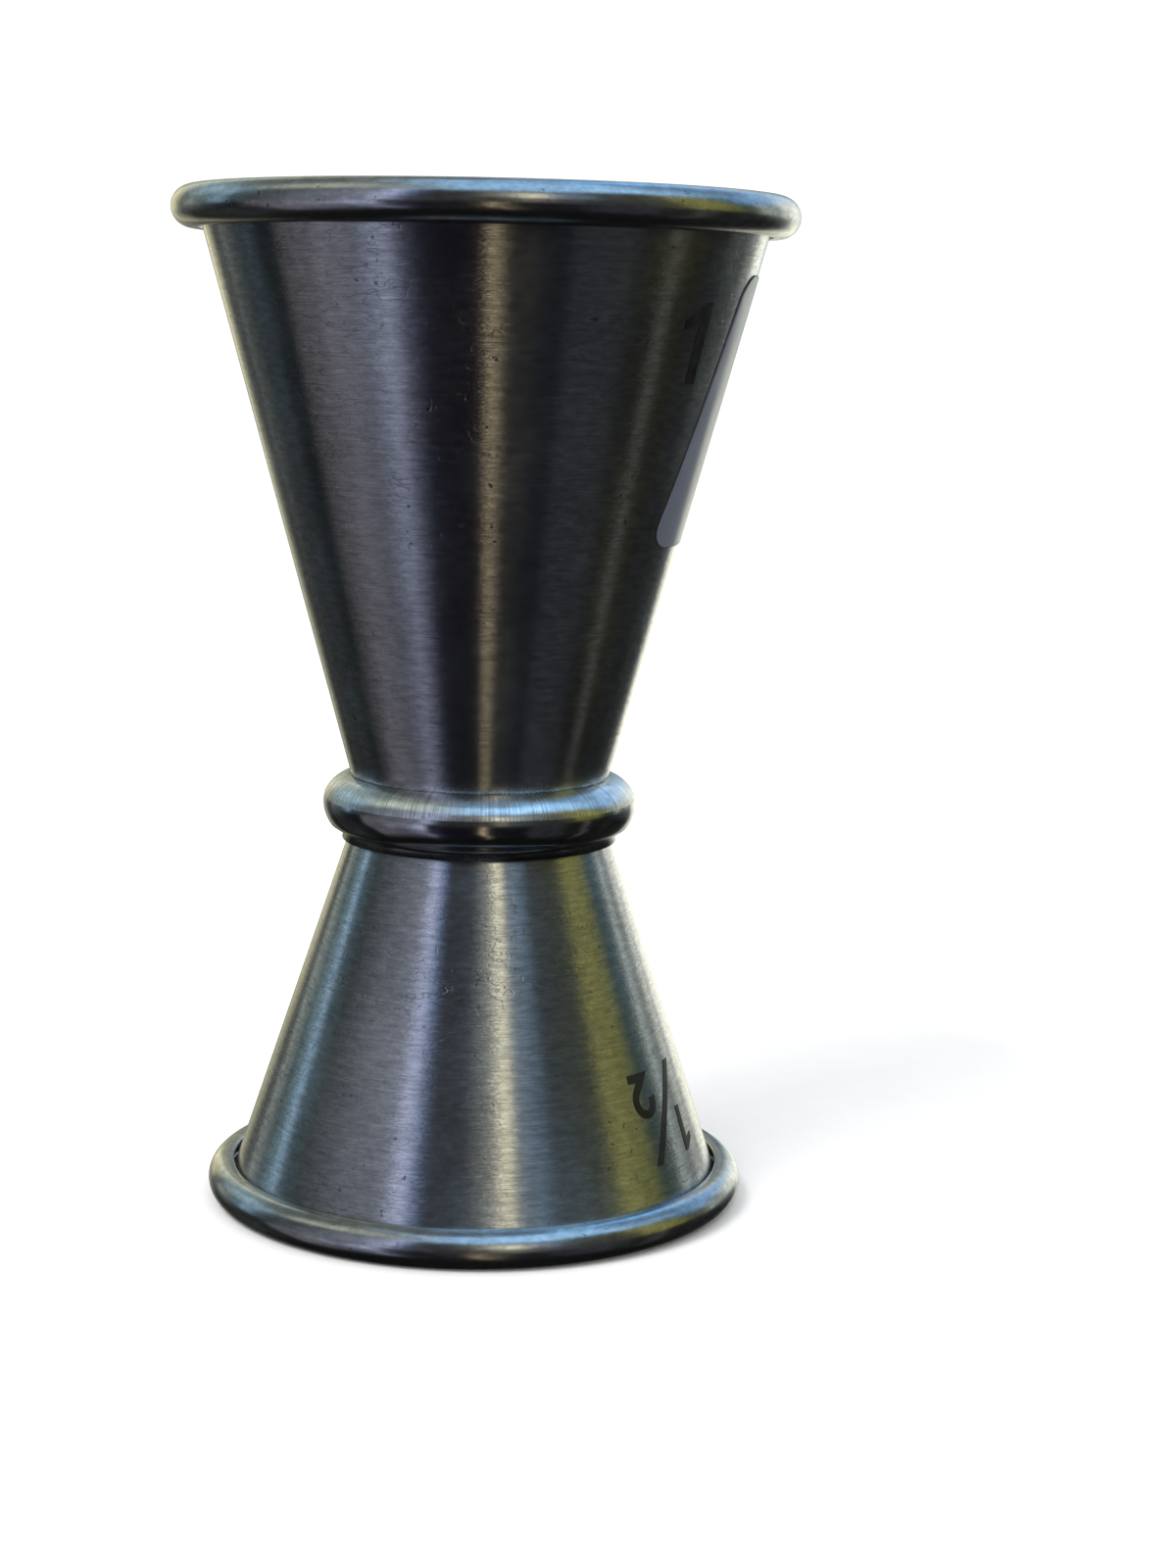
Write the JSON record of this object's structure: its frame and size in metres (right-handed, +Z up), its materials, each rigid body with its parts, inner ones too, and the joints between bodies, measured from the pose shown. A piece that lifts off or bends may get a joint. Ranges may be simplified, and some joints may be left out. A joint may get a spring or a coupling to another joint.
{
  "type": "bar jigger",
  "caption": "Two-ended conical measuring cup in brushed steel with rolled rims, a collar round the waist, capacity marks and a blank label.",
  "frame": {"origin": "centre of the circle that the lower rim stands on", "axes": "+Z up along the jigger's axis, from the small cup to the large one; -Y is the front, with the marks to its right"},
  "size_m": [0.045, 0.045, 0.074],
  "materials": {
    "upper_steel": "brushed round the cup",
    "lower_steel": "brushed round the cup",
    "collar_steel": "brushed across the ring",
    "weld_steel": "as welded",
    "mark_ink": "thin black print",
    "label_glue": "soiled glue line",
    "label_film": "glossy film, blank"
  },
  "bodies": {
    "root": {"upper_cup": "upper_steel", "lower_cup": "lower_steel", "collar": "collar_steel", "base_welds": "weld_steel", "one_ounce_mark": "mark_ink", "half_ounce_mark": "mark_ink", "label_adhesive": "label_glue", "label_film": "label_film"}
  },
  "joints": []
}
